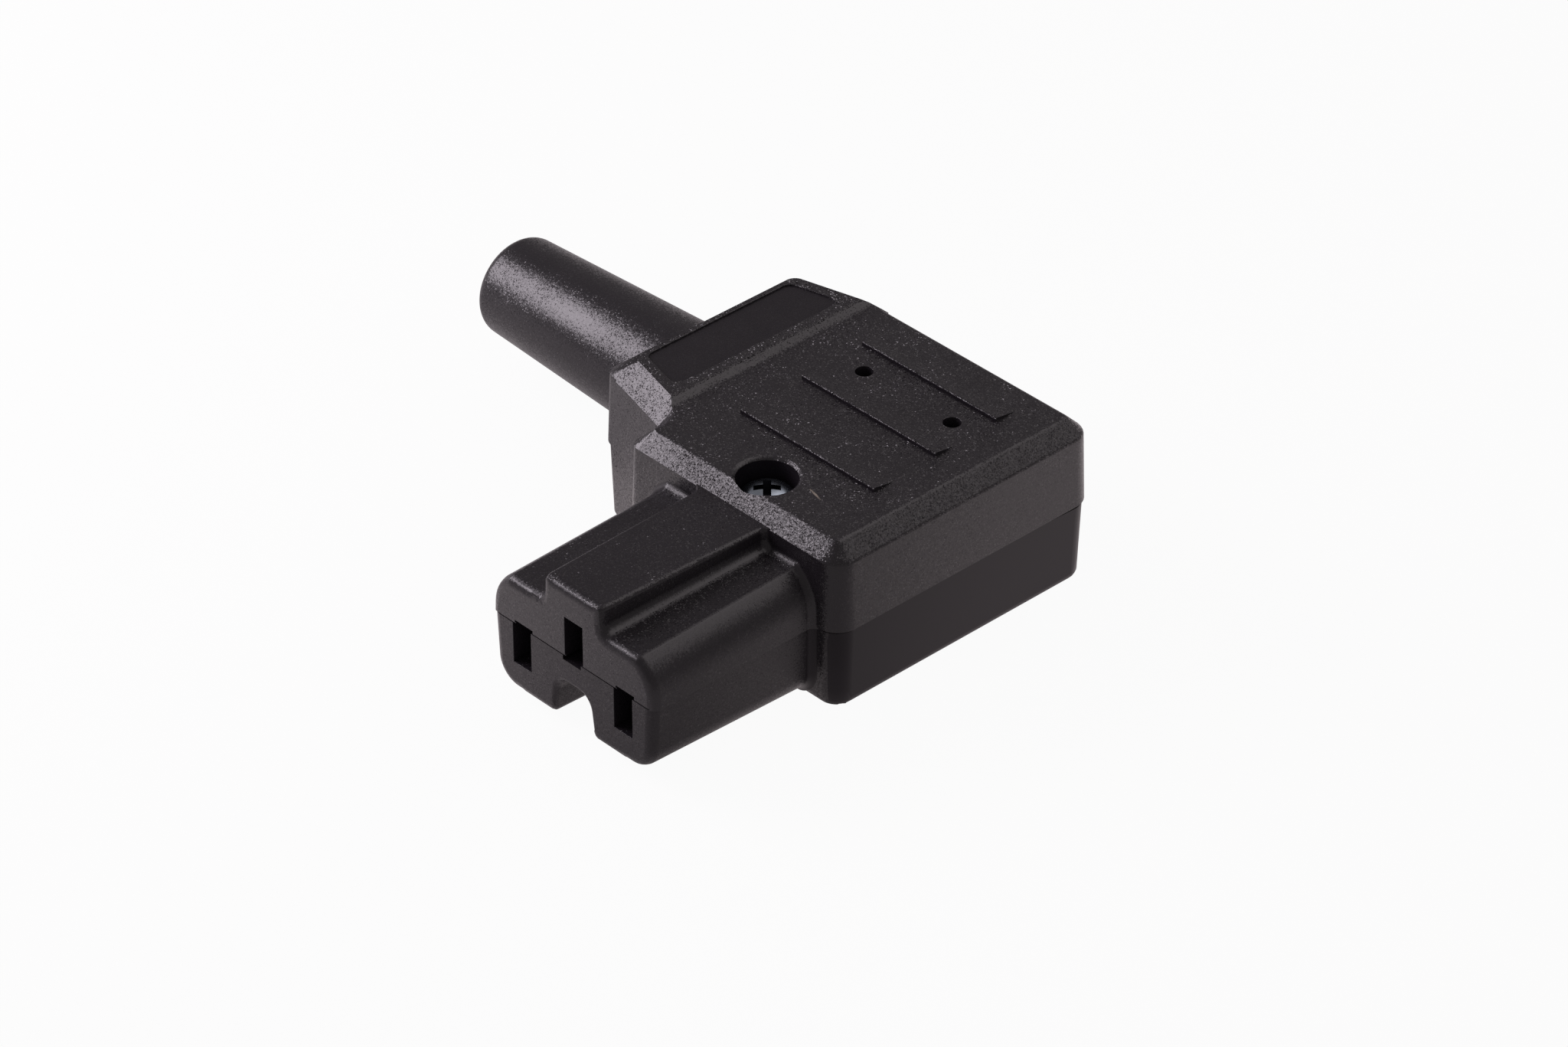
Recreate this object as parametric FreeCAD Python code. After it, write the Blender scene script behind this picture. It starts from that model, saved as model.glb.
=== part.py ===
import FreeCAD, Part
import math
import os

os.makedirs("parts", exist_ok=True)

# Right-angle appliance connector for a mains lead, rewireable, in millimetres.
# The origin is on the mating face of the nose, midway between the line and neutral slots.
# The nose points to -Y, the cable leaves to -X and +Z is up.

# Contact pattern on the mating face
POLE_PITCH = 14.0
EARTH_RISE = 4.0
SLOT_WIDTH = 2.5
SLOT_HEIGHT = 4.9
SLOT_JOG = 0.3

# Levels of the housing
SPLIT_Z = 2.0
TOP_Z = 11.24
PAD_Z = 11.75
BASE_Z = -6.8
CHAMFER_RUN = 1.7
CHAMFER_DROP = 1.67
PAD_CHAMFER_RUN = 2.2
PAD_CHAMFER_DROP = 1.95
BASE_ROUND = 0.7
DRAFT = math.tan(math.radians(2.0))
SHELL_STEP = 0.2
SPLIT_LINE = 0.12
GAP_DEPTH = 0.8
BACK_GAP = (46.0, 56.0, 0.4)
FRONT_GAP = (24.5, 18.0, 0.22)
GAP_LEFT_X = 12.2

# Plan of the housing: a block with a neck that narrows towards the cable
BODY_RIGHT = 14.3
BODY_LEFT = -14.8
BODY_FRONT = 19.9
BODY_BACK = 54.0
CABLE_Y = 38.9
CABLE_Z = 1.75
NECK_ROOT_X = -15.0
NECK_END_X = -25.3
NECK_ROOT_HALF = 15.1
NECK_END_HALF = 12.4
NECK_ROUND = 1.8
NECK_ROOT_ROUND = 3.0
VALLEY_ROUND = 0.8
BLOCK_ROUND = 2.5
BLOCK_LEFT_ROUND = 1.6
BLOCK_REACH = 4.0
PAD_EDGE_X = -15.25
PAD_FOOT_X = -14.45
PAD_RIGHT_X = -8.0
PAD_CORNER = 1.2
PAD_STEP_ROUND = 1.2
PAD_STEP_LAP = 0.5
WALL = 2.0
WALL_EXTRA = 0.2
NECK_WALL = 2.6
NECK_LAP = 0.8
END_WALL = 2.7

# Nose, given at its mating face and at its root on the block
NOSE_DRAFT = math.tan(math.radians(3.0))
NOSE_HALF = 11.25
FACE_ROUND = 0.8
ROOT_ROUND = 0.9
ROOT_SINK = 0.06
RIDGE_Z = 9.67
RIDGE_HALF = (4.0, 4.6)
SHOULDER_Z = (6.85, 7.55)
NOSE_BASE_Z = (-5.72, -6.5)
NOSE_TOP_ROUND = 4.6
NOSE_TOP_TURN = math.radians(56.0)
NOSE_SLANT = 2.72
NOSE_BASE_ROUND = 3.0
RIDGE_ROUND = 0.5
RIDGE_FOOT_ROUND = 1.1
NOSE_SINK = 1.7

# Keying groove under the nose
GROOVE_TOP_Z = -1.05
GROOVE_TOP_HALF = 2.1
GROOVE_FLARE = 0.14
GROOVE_ROUND = 2.0
GROOVE_LIP = 1.0
GROOVE_EDGE = 0.5
GROOVE_END_Y = 18.6

# Top face details
GRIP_ROWS = 3
GRIP_FIRST_Y = 29.81
GRIP_PITCH = 8.27
GRIP_LENGTH = 18.2
GRIP_LEFT_X = -9.37
GRIP_STEP_X = -0.3
GRIP_HEIGHT = 0.4
GRIP_RUN = 2.5
PIN_HOLES = ((-6.5, 43.3), (5.5, 43.3))
PIN_HOLE_R = 0.9
PIN_HOLE_DEPTH = 1.4
PANEL_DEPTH = 0.2
PANEL_LEFT_X = -22.3
PANEL_RIGHT_X = -16.5
PANEL_EDGE = 3.8
PANEL_ROUND = 1.0

# Housing screw
SCREW_X = 0.1
SCREW_Y = 24.44
SCREW_HOLE_R = 3.0
SCREW_HOLE_EDGE = 0.3
SCREW_SEAT_Z = 7.8
SCREW_HEAD_R = 2.8
SCREW_HEAD_HEIGHT = 2.2
SCREW_CROWN = 0.9
SCREW_CROWN_R = 1.7
SCREW_RECESS_R = 1.5
SCREW_RECESS_DEPTH = 1.3
RECESS_TAPER = 0.45
RECESS_ARM_HALF = 0.39
SCREW_SHANK_R = 1.45
SCREW_TIP_Z = -3.2
SCREW_HOLE_Z = -3.5
BOSS_R = 3.2
CUP_R = 4.1
CUP_Z = 5.2
SCREW_PLAY = 0.15

# Tabs at the back of the upper shell that reach into the lower one
TAB_PLACES = (-7.0, 6.0)
TAB_HALF = 2.5
TAB_THICK = 1.2
TAB_PLAY = 0.1
TAB_REACH = 2.0
TAB_ROOT = 3.0

# Cable sleeve
SLEEVE_BORE_R = 3.6
SLEEVE_ROOT_R = 6.45
SLEEVE_TIP_R = 5.33
SLEEVE_TIP_X = -52.8
SLEEVE_WAIST_R = 6.0
SLEEVE_FLANGE_R = 7.0
SLEEVE_FLANGE = 2.0
SLEEVE_ROUND = 1.4
SEAT_PLAY = 0.05

# Contacts and terminals
SHEET = 0.6
JAW_HEIGHT = 4.4
JAW_FRONT_Y = 5.0
JAW_BACK_Y = 17.5
JAW_MOUTH = 3.2
JAW_FLARE = 4.8
JAW_HALF = 1.5
JAW_PINCH_HALF = 1.05
JAW_MOUTH_HALF = 1.75
POCKET_HALF = 2.2
POCKET_HEIGHT = 5.6
POCKET_PLAY = 0.2
SIDE_ROOM_X = 4.7
BLOCK_WIDTH = 6.0
BLOCK_DEPTH = 7.0
BLOCK_BASE_Z = -4.3
BLOCK_TOP_Z = 1.4
BLOCK_FRONT_Y = 29.0
POLE_BLOCK_X = 7.7
EARTH_BLOCK_FRONT_Y = 32.0
WIRE_HOLE_R = 1.4
WIRE_HOLE_DEPTH = 4.5
WIRE_HOLE_Z = -1.4
TAIL_SLOT_HALF = 0.35
TAIL_SLOT_DEPTH = 2.0
TAIL_PLAY = 0.1
TAIL_BEND_Y = (24.0, 26.5)
EARTH_BEND_Y = (2.4, 27.5, 30.5)
EARTH_TAIL_GAP = 0.7
EARTH_TAIL_REACH = (0.5, 5.0)
EARTH_TAIL_DROP = 0.4
TAIL_LOW_Z = -2.0
TAIL_HIGH_Z = 0.5
TERMINAL_SCREW_R = 1.4
TERMINAL_SCREW_BACK = 0.8
TERMINAL_SCREW_LIFT = 0.8
TERMINAL_SCREW_TIP_Z = -0.6
TERMINAL_HEAD_R = 2.5
CHEESE_HEIGHT = 1.8
CHEESE_SLOT_HALF = 0.4
RIB_SPANS = ((-4.3, -3.5), (3.85, 4.35))
RIB_LENGTH = 9.0

# Cord clamp
CLAMP_X = -17.6
CLAMP_WIDTH = 4.4
CLAMP_SCREW_REACH = 7.3
CLAMP_HALF = 9.7
CLAMP_SHEET = 1.6
CORD_ROOM_R = 3.7
CLAMP_HEAD_R = 1.9
CLAMP_HOLE_R = 1.6
CLAMP_SLOPE = 0.6
CLAMP_SCREW_TIP_Z = -3.5
POST_HALF = 2.2
POST_TOP_Z = 1.2
POST_HOLE_Z = -3.8

V = FreeCAD.Vector
AXIS_X = V(1, 0, 0)
AXIS_Y = V(0, 1, 0)
AXIS_Z = V(0, 0, 1)
FAR = 80.0
CLEAR = 1.0
OVERLAP = 0.1
SKIN = 0.02
TIGHTEST_ROUND = 0.15
QUARTER_STEPS = (0.0, 45.0, 90.0)
ROOT_STEPS = (0.0, 24.0, 48.0, 72.0)
TIP_STEPS = (0.0, 22.5, 45.0, 67.5, 90.0)


def direction(start, end):
    """Unit vector between two plan points."""
    length = math.dist(start, end)
    return ((end[0] - start[0]) / length, (end[1] - start[1]) / length)


def corners(points):
    """Each corner of a closed polygon with the directions of the runs into and out of it."""
    for before, here, after in zip(points[-1:] + points[:-1], points, points[1:] + points[:1]):
        yield here, direction(before, here), direction(here, after)


def inset(points, gap):
    """Closed anticlockwise polygon moved inwards by a gap, or outwards by a negative one."""
    moved = []
    for here, a, b in corners(points):
        shift = gap / (1.0 + a[0] * b[0] + a[1] * b[1])
        moved.append((here[0] - shift * (a[1] + b[1]), here[1] + shift * (a[0] + b[0])))
    return moved


def rounded(points, radii, place):
    """Closed wire of straight runs joined by tangent arcs; place puts a plan point in space."""
    spans = []
    for (here, a, b), radius in zip(corners(points), radii):
        turn = math.atan2(abs(a[0] * b[1] - a[1] * b[0]), a[0] * b[0] + a[1] * b[1])
        reach = radius * math.tan(turn / 2)
        start = (here[0] - a[0] * reach, here[1] - a[1] * reach)
        end = (here[0] + b[0] * reach, here[1] + b[1] * reach)
        if radius:
            inward = direction(a, b)
            depth = radius / math.cos(turn / 2) - radius
            middle = (here[0] + inward[0] * depth, here[1] + inward[1] * depth)
            spans.append((start, middle, end))
        else:
            spans.append((start, None, end))
    edges = []
    for (start, middle, end), (following, _, _) in zip(spans, spans[1:] + spans[:1]):
        if middle:
            edges.append(Part.Arc(place(*start), place(*middle), place(*end)).toShape())
        edges.append(Part.LineSegment(place(*end), place(*following)).toShape())
    return Part.Wire(edges)


def ring(points, radii, gap, place):
    """Rounded wire of an inset polygon: outer corners tighten with the inset and inner ones ease."""
    fitted = []
    for (_, a, b), radius in zip(corners(points), radii):
        outer = a[0] * b[1] - a[1] * b[0] > 0
        eased = radius - gap if outer else radius + gap
        fitted.append(max(eased, TIGHTEST_ROUND) if radius else 0.0)
    return rounded(inset(points, gap), fitted, place)


def level(z):
    """Placement of a plan outline at a height."""
    return lambda x, y: V(x, y, z)


def station(y, slope=0.0):
    """Placement of a nose section at a distance behind the mating face, leaning with a drafted wall."""
    return lambda x, z: V(x, y + (z - SPLIT_Z) * slope, z)


def loft(wires):
    """Solid with straight walls from wire to wire."""
    return Part.makeLoft(wires, True, True)


def prism(points, place, sweep, radii=None):
    """Solid swept from a rounded polygon."""
    wire = rounded(points, radii or [0.0] * len(points), place)
    return Part.Face(wire).extrude(sweep)


def block(x, y, z):
    """Box between the low and high value on each axis."""
    return Part.makeBox(x[1] - x[0], y[1] - y[0], z[1] - z[0], V(x[0], y[0], z[0]))


def post(x, y, low, high, radius):
    """Upright cylinder."""
    return Part.makeCylinder(radius, high - low, V(x, y, low), AXIS_Z)


def blend(pair, y):
    """Value between the mating face and the root of the nose."""
    return pair[0] + (pair[1] - pair[0]) * y / BODY_FRONT


def neck_half(x):
    """Half the width of the tapered neck."""
    share = (NECK_ROOT_X - x) / (NECK_ROOT_X - NECK_END_X)
    return NECK_ROOT_HALF + (NECK_END_HALF - NECK_ROOT_HALF) * share


def housing_plan():
    """Outline and corner radii of the whole housing, anticlockwise from the front right corner."""
    points = [
        (BODY_RIGHT, BODY_FRONT),
        (BODY_RIGHT, BODY_BACK),
        (NECK_ROOT_X, BODY_BACK),
        (NECK_END_X, CABLE_Y + NECK_END_HALF),
        (NECK_END_X, CABLE_Y - NECK_END_HALF),
        (BODY_LEFT, CABLE_Y - neck_half(BODY_LEFT)),
        (BODY_LEFT, BODY_FRONT),
    ]
    radii = [BLOCK_ROUND, BLOCK_ROUND, NECK_ROOT_ROUND, NECK_ROUND, NECK_ROUND]
    return points, radii + [VALLEY_ROUND, BLOCK_LEFT_ROUND]


def block_plan():
    """Outline of the block below its top face, run on into the root of the neck."""
    points, radii = housing_plan()
    inner_x = NECK_ROOT_X - BLOCK_REACH
    points[3] = (inner_x, CABLE_Y + neck_half(inner_x))
    points[4] = (inner_x, CABLE_Y - neck_half(inner_x))
    return points, radii


def pad(lean, eave_z):
    """Raised pad on the neck, with a rounded step towards the block and its back in line with the block."""
    taper = [
        (PAD_RIGHT_X, CABLE_Y + neck_half(PAD_RIGHT_X)),
        (NECK_END_X, CABLE_Y + NECK_END_HALF),
        (NECK_END_X, CABLE_Y - NECK_END_HALF),
        (PAD_RIGHT_X, CABLE_Y - neck_half(PAD_RIGHT_X)),
    ]
    strip_plan = [(FAR, 0.0), (FAR, BODY_BACK), (-FAR, BODY_BACK), (-FAR, 0.0)]
    rim = lean + PAD_CHAMFER_RUN
    levels = [
        (lean, eave_z, NECK_ROUND),
        (lean, PAD_Z - PAD_CHAMFER_DROP, NECK_ROUND),
        (rim, PAD_Z, PAD_CORNER + rim),
    ]
    forms = []
    for plan, ends in ((taper, (0.0, 1.0, 1.0, 0.0)), (strip_plan, (0.0,) * 4)):
        wires = [ring(plan, [end * turn for end in ends], gap, level(z)) for gap, z, turn in levels]
        forms.append(loft(wires))
    lap_x = PAD_FOOT_X + PAD_STEP_LAP
    profile = [(-FAR, eave_z), (lap_x, eave_z), (lap_x, TOP_Z)]
    profile += [(PAD_FOOT_X, TOP_Z), (PAD_EDGE_X, PAD_Z), (-FAR, PAD_Z)]
    radii = [0.0, 0.0, 0.0, PAD_STEP_ROUND, PAD_STEP_ROUND, 0.0]
    step = prism(profile, station(0.0), AXIS_Y * FAR, radii)
    return forms[0].common(forms[1]).common(step)


def panel_recess():
    """Shallow recess on the pad, set back evenly from the pad's edges."""
    points = []
    for x, side in ((PANEL_RIGHT_X, -1), (PANEL_RIGHT_X, 1), (PANEL_LEFT_X, 1), (PANEL_LEFT_X, -1)):
        points.append((x, CABLE_Y + side * (neck_half(x) - PANEL_EDGE)))
    return prism(points, level(PAD_Z - PANEL_DEPTH), AXIS_Z, [PANEL_ROUND] * 4)


def nose_profile(y):
    """Section of the nose with its keyed ridge, anticlockwise in X and Z."""
    base = blend(NOSE_BASE_Z, y)
    shoulder = blend(SHOULDER_Z, y)
    ridge = blend(RIDGE_HALF, y)
    base_half = NOSE_HALF - (SPLIT_Z - base) * NOSE_DRAFT
    eave = shoulder - NOSE_SLANT * math.cos(NOSE_TOP_TURN)
    eave_half = NOSE_HALF - (eave - SPLIT_Z) * NOSE_DRAFT
    right = [
        (base_half, base),
        (NOSE_HALF, SPLIT_Z),
        (eave_half, eave),
        (eave_half - NOSE_SLANT * math.sin(NOSE_TOP_TURN), shoulder),
        (ridge, shoulder),
        (ridge - (RIDGE_Z - shoulder) * NOSE_DRAFT, RIDGE_Z),
    ]
    left = [(-x, z) for x, z in reversed(right)]
    radii = [NOSE_BASE_ROUND, 0.0, NOSE_TOP_ROUND, 0.0, RIDGE_FOOT_ROUND, RIDGE_ROUND]
    return right + left, radii + radii[::-1]


def nose(gap, slope):
    """Nose with a rounded edge at the mating face and a fillet along the wall of the block it runs into."""
    root_y = BODY_FRONT + gap
    stations = []
    for angle in map(math.radians, QUARTER_STEPS):
        stations.append((FACE_ROUND * (1 - math.cos(angle)), FACE_ROUND * (1 - math.sin(angle)), 0.0))
    for angle in map(math.radians, ROOT_STEPS):
        flare = ROOT_ROUND * (1 - math.cos(angle))
        stations.append((root_y + ROOT_SINK - ROOT_ROUND * (1 - math.sin(angle)), -flare, slope))
    stations.append((root_y + NOSE_SINK, -flare, slope))
    wires = []
    for y, edge, lean in stations:
        points, radii = nose_profile(y)
        wires.append(ring(points, radii, gap + edge, station(y, lean)))
    return loft(wires)


def edge_fall(radius, y):
    """How far a rounded edge at the mating face has drawn back at a distance behind that face."""
    short = max(radius - max(y, 0.0), 0.0)
    return radius - math.sqrt(radius ** 2 - short ** 2)


def groove():
    """Keying groove under the nose: an arch with flared walls, eased lips and a rounded front edge."""
    wires = []
    for y in (-CLEAR, 0.0, GROOVE_EDGE / 4, GROOVE_EDGE, FACE_ROUND, GROOVE_END_Y):
        edge = edge_fall(GROOVE_EDGE, y)
        base = blend(NOSE_BASE_Z, y) + edge_fall(FACE_ROUND, y) - SKIN
        top = GROOVE_TOP_Z + edge
        half = GROOVE_TOP_HALF + edge
        lip = half + GROOVE_FLARE * (top - base)
        wide = lip + 3 * GROOVE_LIP
        low = base - 4 * GROOVE_LIP
        points = [(-wide, low), (wide, low), (wide, base), (lip, base), (half, top)]
        points += [(-half, top), (-lip, base), (-wide, base)]
        radii = [0.0, 0.0, 0.0, GROOVE_LIP, GROOVE_ROUND, GROOVE_ROUND, GROOVE_LIP, 0.0]
        wires.append(rounded(points, radii, station(y)))
    return loft(wires)


def upper_form():
    """Outside of the upper shell: drafted walls, chamfered top face and the raised pad."""
    eave_z = TOP_Z - CHAMFER_DROP
    lean = (eave_z - SPLIT_Z) * DRAFT
    plan, radii = housing_plan()
    walls = loft([
        ring(plan, radii, SPLIT_LINE, level(SPLIT_Z)),
        ring(plan, radii, 0.0, level(SPLIT_Z + SPLIT_LINE)),
        ring(plan, radii, lean, level(eave_z)),
    ])
    plan, radii = block_plan()
    cap = loft([
        ring(plan, radii, lean, level(eave_z)),
        ring(plan, radii, lean + CHAMFER_RUN, level(TOP_Z)),
    ])
    above = block((-FAR, FAR), (-FAR, FAR), (SPLIT_Z, RIDGE_Z))
    return walls.fuse([cap, pad(lean, eave_z), nose(0.0, DRAFT).common(above)]).cut(panel_recess())


def lower_form():
    """Outside of the lower shell: drafted walls, rounded base edge and the grooved nose."""
    edge_z = BASE_Z + BASE_ROUND
    plan, radii = housing_plan()
    wires = [ring(plan, radii, SHELL_STEP, level(SPLIT_Z))]
    lean = SHELL_STEP + (SPLIT_Z - edge_z) * DRAFT
    for angle in map(math.radians, QUARTER_STEPS):
        gap = lean + BASE_ROUND * (1 - math.cos(angle))
        wires.append(ring(plan, radii, gap, level(edge_z - BASE_ROUND * math.sin(angle))))
    below = block((-FAR, FAR), (-FAR, FAR), (BASE_Z + SKIN, SPLIT_Z))
    return loft(wires).fuse(nose(SHELL_STEP, -DRAFT).common(below)).cut(groove())


def split_gaps():
    """Thin wedges at both ends of the right wall, where the halves stand slightly open."""
    plan, radii = housing_plan()
    core = Part.Face(ring(plan, radii, SHELL_STEP + GAP_DEPTH, level(0.0))).extrude(AXIS_Z * FAR)
    wedges = []
    top = SPLIT_Z + CLEAR
    for shut_y, open_y, height in (BACK_GAP, FRONT_GAP):
        profile = [(shut_y, SPLIT_Z), (open_y, SPLIT_Z - height), (open_y, top), (shut_y, top)]
        wedge = prism(profile, lambda y, z: V(GAP_LEFT_X, y, z), AXIS_X * FAR)
        wedges.append(wedge.cut(core))
    return wedges


def room(low, high):
    """Space inside the block and the neck between two heights."""
    side = WALL + WALL_EXTRA
    main = block(
        (BODY_LEFT + side, BODY_RIGHT - side),
        (BODY_FRONT + WALL, BODY_BACK - side),
        (low, high),
    )
    back_x = NECK_END_X + END_WALL
    front_x = BODY_LEFT + side + NECK_LAP
    plan = [
        (front_x, CABLE_Y + neck_half(front_x) - NECK_WALL),
        (back_x, CABLE_Y + neck_half(back_x) - NECK_WALL),
        (back_x, CABLE_Y - neck_half(back_x) + NECK_WALL),
        (front_x, CABLE_Y - neck_half(front_x) + NECK_WALL),
    ]
    return main.fuse(prism(plan, level(low), AXIS_Z * (high - low)))


def contact_places():
    """Places of the two poles and the earth on the mating face."""
    return ((-POLE_PITCH / 2, 0.0), (POLE_PITCH / 2, 0.0), (0.0, EARTH_RISE))


def slots(jog):
    """The three slots in the mating face."""
    cut = []
    for x, z in contact_places():
        half = SLOT_WIDTH / 2
        cut.append(block(
            (x + jog - half, x + jog + half),
            (-CLEAR, JAW_FRONT_Y),
            (z - SLOT_HEIGHT / 2, z + SLOT_HEIGHT / 2),
        ))
    return cut


def contact_pockets():
    """Pockets behind the slots, open to the space inside the block."""
    back_y = BODY_FRONT + WALL + OVERLAP
    pockets = []
    for x, z in contact_places():
        pockets.append(block(
            (x - POCKET_HALF, x + POCKET_HALF),
            (JAW_FRONT_Y - POCKET_PLAY, back_y),
            (z - POCKET_HEIGHT / 2, z + POCKET_HEIGHT / 2),
        ))
    floor = EARTH_RISE - POCKET_HEIGHT / 2
    side_room = block((0.0, SIDE_ROOM_X), (JAW_BACK_Y - CLEAR, back_y), (floor, CUP_Z))
    return pockets + [side_room]


def sleeve_seat():
    """Round seat of the cable sleeve through the end wall of the neck, with a groove for its flange."""
    inner_x = NECK_END_X + END_WALL
    waist = barrel(NECK_END_X - CLEAR, inner_x, SLEEVE_WAIST_R + SEAT_PLAY)
    flange = barrel(inner_x, inner_x + SLEEVE_FLANGE + 2 * SEAT_PLAY, SLEEVE_FLANGE_R + SEAT_PLAY)
    return waist.fuse(flange)


def grip_ramps():
    """Rows of low ramps on the top face, steep towards the nose and fading towards the back."""
    rows = []
    for row in range(GRIP_ROWS):
        y = GRIP_FIRST_Y + row * GRIP_PITCH
        x = GRIP_LEFT_X + row * GRIP_STEP_X
        root = TOP_Z - OVERLAP
        profile = [(y, root), (y + GRIP_RUN, root), (y + GRIP_RUN, TOP_Z), (y, TOP_Z + GRIP_HEIGHT)]
        rows.append(prism(profile, lambda v, z: V(x, v, z), AXIS_X * GRIP_LENGTH))
    return rows


def upper_shell():
    """Upper half of the housing."""
    ceiling = TOP_Z - WALL
    hollow = room(SPLIT_Z - CLEAR, ceiling)
    boss = post(SCREW_X, SCREW_Y, SPLIT_Z, ceiling, BOSS_R)
    cup = post(SCREW_X, SCREW_Y, CUP_Z, ceiling, CUP_R)
    tabs = []
    inner_back = BODY_BACK - WALL - WALL_EXTRA
    front_y = inner_back - TAB_THICK
    for x in TAB_PLACES:
        width = (x - TAB_HALF, x + TAB_HALF)
        tabs.append(block(width, (front_y, inner_back - TAB_PLAY), (SPLIT_Z - TAB_REACH, SPLIT_Z + TAB_ROOT)))
        tabs.append(block(width, (front_y, inner_back + WALL_EXTRA), (SPLIT_Z, SPLIT_Z + TAB_ROOT)))
    shell = upper_form().cut([hollow] + contact_pockets())
    shell = shell.fuse([boss, cup] + tabs + grip_ramps())
    cuts = slots(SLOT_JOG)
    cuts.append(sleeve_seat())
    cuts.append(post(SCREW_X, SCREW_Y, SCREW_SEAT_Z, FAR, SCREW_HOLE_R))
    cuts.append(post(SCREW_X, SCREW_Y, 0.0, FAR, SCREW_SHANK_R + SCREW_PLAY))
    edge_z = TOP_Z - SCREW_HOLE_EDGE
    rim_r = SCREW_HOLE_R + 2 * SCREW_HOLE_EDGE
    cuts.append(Part.makeCone(SCREW_HOLE_R, rim_r, 2 * SCREW_HOLE_EDGE, V(SCREW_X, SCREW_Y, edge_z)))
    for x, y in PIN_HOLES:
        cuts.append(post(x, y, TOP_Z - PIN_HOLE_DEPTH, FAR, PIN_HOLE_R))
    line = (SPLIT_Z - OVERLAP, SPLIT_Z + SPLIT_LINE)
    cuts.append(block((-NOSE_HALF, NOSE_HALF), (-CLEAR, SPLIT_LINE), line))
    return shell.cut(cuts).removeSplitter()


def lower_shell():
    """Lower half of the housing, with the screw boss, terminal ribs and clamp posts."""
    floor = BLOCK_BASE_Z
    inside = [post(SCREW_X, SCREW_Y, floor, SPLIT_Z, BOSS_R)]
    for width in RIB_SPANS:
        inside.append(block(width, (BLOCK_FRONT_Y, BLOCK_FRONT_Y + RIB_LENGTH), (floor, BLOCK_TOP_Z)))
    for side in (-1, 1):
        y = CABLE_Y + side * CLAMP_SCREW_REACH
        inside.append(block(
            (CLAMP_X - POST_HALF, CLAMP_X + POST_HALF), (y - POST_HALF, y + POST_HALF), (floor, POST_TOP_Z)
        ))
    shell = lower_form().cut([room(floor, SPLIT_Z + CLEAR)] + contact_pockets())
    shell = shell.fuse(inside)
    cuts = slots(0.0) + split_gaps()
    cuts.append(sleeve_seat())
    cuts.append(post(SCREW_X, SCREW_Y, SCREW_HOLE_Z, FAR, SCREW_SHANK_R))
    for side in (-1, 1):
        cuts.append(post(CLAMP_X, CABLE_Y + side * CLAMP_SCREW_REACH, POST_HOLE_Z, FAR, TERMINAL_SCREW_R))
    return shell.cut(cuts).removeSplitter()


def hoop(x, radius):
    """Circle round the cable axis."""
    return Part.Wire(Part.Circle(V(x, CABLE_Y, CABLE_Z), AXIS_X, radius).toShape())


def barrel(low_x, high_x, radius):
    """Cylinder along the cable axis."""
    return Part.makeCylinder(radius, high_x - low_x, V(low_x, CABLE_Y, CABLE_Z), AXIS_X)


def cable_sleeve():
    """Tapered sleeve with a rounded free end, a waist in the end wall of the neck and a flange behind it."""
    shoulder_x = NECK_END_X - SEAT_PLAY
    waist_x = NECK_END_X + END_WALL + SEAT_PLAY
    flange_x = waist_x + SLEEVE_FLANGE
    rims = []
    for angle in map(math.radians, TIP_STEPS):
        x = SLEEVE_TIP_X + SLEEVE_ROUND * (1 - math.sin(angle))
        rims.append(hoop(x, SLEEVE_TIP_R - SLEEVE_ROUND * (1 - math.cos(angle))))
    taper = loft(rims[::-1] + [hoop(shoulder_x, SLEEVE_ROOT_R)])
    waist = barrel(shoulder_x, waist_x, SLEEVE_WAIST_R)
    flange = barrel(waist_x, flange_x, SLEEVE_FLANGE_R)
    bore = barrel(SLEEVE_TIP_X - CLEAR, flange_x + CLEAR, SLEEVE_BORE_R)
    return taper.fuse([waist, flange]).cut(bore)


def cross_recess(x, y, top, reach, depth):
    """Tapered cross for a screwdriver, pointing down into a screw head."""
    arms = []
    for turned in (False, True):
        wires = []
        for z, half in ((top + OVERLAP, reach), (top - depth, reach * RECESS_TAPER)):
            thin = RECESS_ARM_HALF
            wide, deep = (thin, half) if turned else (half, thin)
            plan = [(x - wide, y - deep), (x + wide, y - deep), (x + wide, y + deep), (x - wide, y + deep)]
            wires.append(rounded(plan, [0.0] * 4, level(z)))
        arms.append(loft(wires))
    return arms


def pan_screw():
    """Pan-head screw of the housing, with a sloped crown and a cross recess."""
    crown_z = SCREW_SEAT_Z + SCREW_HEAD_HEIGHT - SCREW_CROWN
    shank = post(SCREW_X, SCREW_Y, SCREW_TIP_Z, SCREW_SEAT_Z, SCREW_SHANK_R)
    head = post(SCREW_X, SCREW_Y, SCREW_SEAT_Z, crown_z, SCREW_HEAD_R)
    crown = Part.makeCone(SCREW_HEAD_R, SCREW_CROWN_R, SCREW_CROWN, V(SCREW_X, SCREW_Y, crown_z))
    recess = cross_recess(SCREW_X, SCREW_Y, crown_z + SCREW_CROWN, SCREW_RECESS_R, SCREW_RECESS_DEPTH)
    return shank.fuse([head, crown]).cut(recess)


def cheese_screw(x, y, seat, tip, head_r):
    """Slotted cheese-head screw of a terminal or of the clamp."""
    top = seat + CHEESE_HEIGHT
    screw = post(x, y, tip, seat, TERMINAL_SCREW_R).fuse(post(x, y, seat, top, head_r))
    width = (y - CHEESE_SLOT_HALF, y + CHEESE_SLOT_HALF)
    slot = block((x - head_r, x + head_r), width, (top - CHEESE_HEIGHT / 2, FAR))
    return screw.cut(slot).removeSplitter()


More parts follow.
